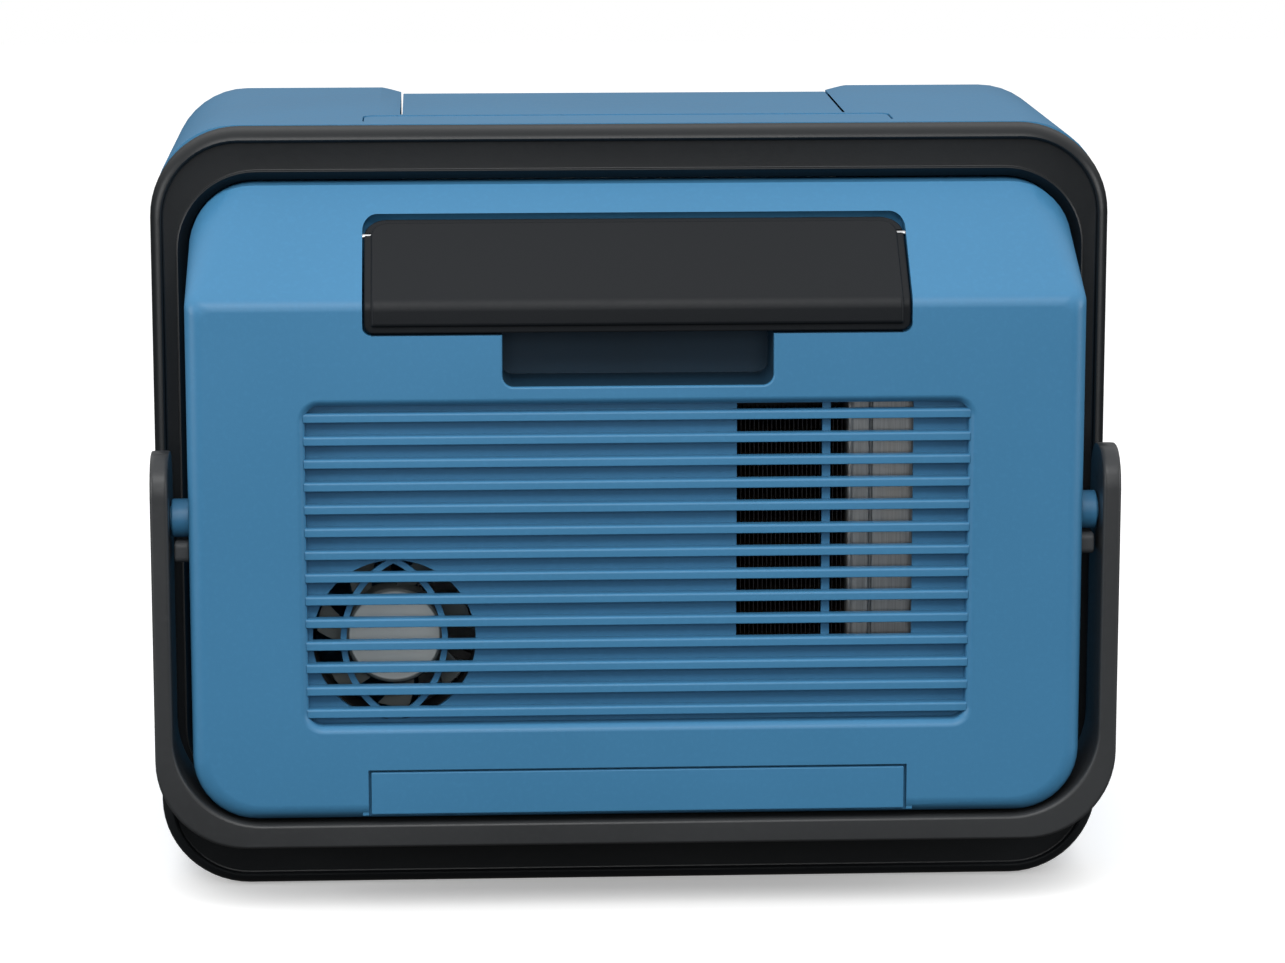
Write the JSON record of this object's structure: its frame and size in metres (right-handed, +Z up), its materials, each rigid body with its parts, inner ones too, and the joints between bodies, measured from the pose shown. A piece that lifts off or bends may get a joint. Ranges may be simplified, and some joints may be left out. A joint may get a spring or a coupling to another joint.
{
  "type": "portable ice maker",
  "caption": "Countertop ice maker case with a perimeter frame, swinging carry handle, rear louvre with fan and condenser, rear flap and a windowed lid.",
  "frame": {"origin": "on the ground under the middle of the bounding box", "axes": "+Z up; -Y is the louvred rear face that the picture shows, +Y the front with the lid and keys; +X to the right when the rear is seen"},
  "size_m": [0.334, 0.236, 0.27],
  "materials": {
    "case_blue": "fine moulded texture, blue",
    "frame_black": "satin black",
    "handle_black": "satin black, slightly worn lighter",
    "flap_black": "matt black",
    "panel_black": "gloss black",
    "button_grey": "matt light grey",
    "trim_grey": "matt dark grey",
    "liner_white": "smooth white",
    "window_clear": "clear, slightly smoked",
    "basket_clear": "frosted clear",
    "rubber_black": "matt rubber",
    "steel": "bright steel",
    "aluminium": "plain aluminium",
    "condenser_black": "aluminium coated black",
    "copper": "drawn copper tube",
    "compressor_paint": "black paint on steel",
    "board_green": "solder mask",
    "fan_black": "matt black",
    "rotor_grey": "matt grey with a pale label on the hub",
    "hose_clear": "milky silicone"
  },
  "bodies": {
    "case": {"rear_shell": "case_blue", "rear_grille": "case_blue", "front_shell": "case_blue", "bottom_cover": "case_blue", "top_strip": "case_blue", "handle_pivot_left": "case_blue", "handle_pivot_right": "case_blue", "frame_band": "frame_black", "control_panel": "panel_black", "base_tray": "trim_grey", "handle_bumper_left": "trim_grey", "handle_bumper_right": "trim_grey", "power_inlet": "trim_grey", "terminal_cover": "trim_grey", "hot_gas_valve": "trim_grey", "ice_sensor_left": "trim_grey", "ice_sensor_right": "trim_grey", "water_pump": "trim_grey", "inner_liner": "liner_white", "tray_motor": "liner_white", "ice_basket": "basket_clear", "foot_left": "rubber_black", "foot_right": "rubber_black", "drain_plug": "rubber_black", "compressor_grommet_1": "rubber_black", "compressor_grommet_2": "rubber_black", "compressor_grommet_3": "rubber_black", "compressor_grommet_4": "rubber_black", "flap_pin_left": "steel", "flap_pin_right": "steel", "lid_pin_left": "steel", "lid_pin_right": "steel", "evaporator": "steel", "fan_screw_1": "steel", "fan_screw_2": "steel", "condenser_header_left": "aluminium", "condenser_header_right": "aluminium", "condenser_core": "condenser_black", "filter_drier": "copper", "discharge_pipe": "copper", "liquid_pipe": "copper", "capillary_pipe": "copper", "suction_pipe": "copper", "compressor": "compressor_paint", "main_board": "board_green", "control_board": "board_green", "fan_frame": "fan_black", "pump_hose": "hose_clear", "sump_hose": "hose_clear", "drain_hose": "hose_clear"},
    "handle": {"carry_handle": "handle_black"},
    "flap": {"rear_flap": "flap_black"},
    "lid": {"lid_frame": "case_blue", "lid_window": "window_clear"},
    "fan": {"fan_rotor": "rotor_grey"},
    "power_key": {"power_button": "button_grey"},
    "size_key": {"size_button": "button_grey"},
    "clean_key": {"clean_button": "button_grey"},
    "tray": {"water_tray": "liner_white"}
  },
  "joints": [
    {"name": "handle_swing", "type": "hinge", "parent": "case", "child": "handle", "pos_m": [0, -0.101, 0.1398], "axis": [-1, 0, 0], "range_deg": [0, 174]},
    {"name": "flap_open", "type": "hinge", "parent": "case", "child": "flap", "pos_m": [0, -0.0908, 0.23517], "axis": [1, 0, 0], "range_deg": [-110, 0]},
    {"name": "lid_open", "type": "hinge", "parent": "case", "child": "lid", "pos_m": [0, -0.02, 0.2632], "axis": [1, 0, 0], "range_deg": [0, 98]},
    {"name": "fan_spin", "type": "hinge", "parent": "case", "child": "fan", "pos_m": [-0.0836, -0.1, 0.0984], "axis": [0, -1, 0], "continuous": true},
    {"name": "power_press", "type": "slide", "parent": "case", "child": "power_key", "axis": [0, -0.8847, -0.4662], "range_m": [0, 0.0012], "stiffness_N_per_m": 600},
    {"name": "size_press", "type": "slide", "parent": "case", "child": "size_key", "axis": [0, -0.8847, -0.4662], "range_m": [0, 0.0012], "stiffness_N_per_m": 600},
    {"name": "clean_press", "type": "slide", "parent": "case", "child": "clean_key", "axis": [0, -0.8847, -0.4662], "range_m": [0, 0.0012], "stiffness_N_per_m": 600},
    {"name": "tray_tilt", "type": "hinge", "parent": "case", "child": "tray", "pos_m": [0, 0.013, 0.196], "axis": [-1, 0, 0], "range_deg": [0, 70]}
  ]
}
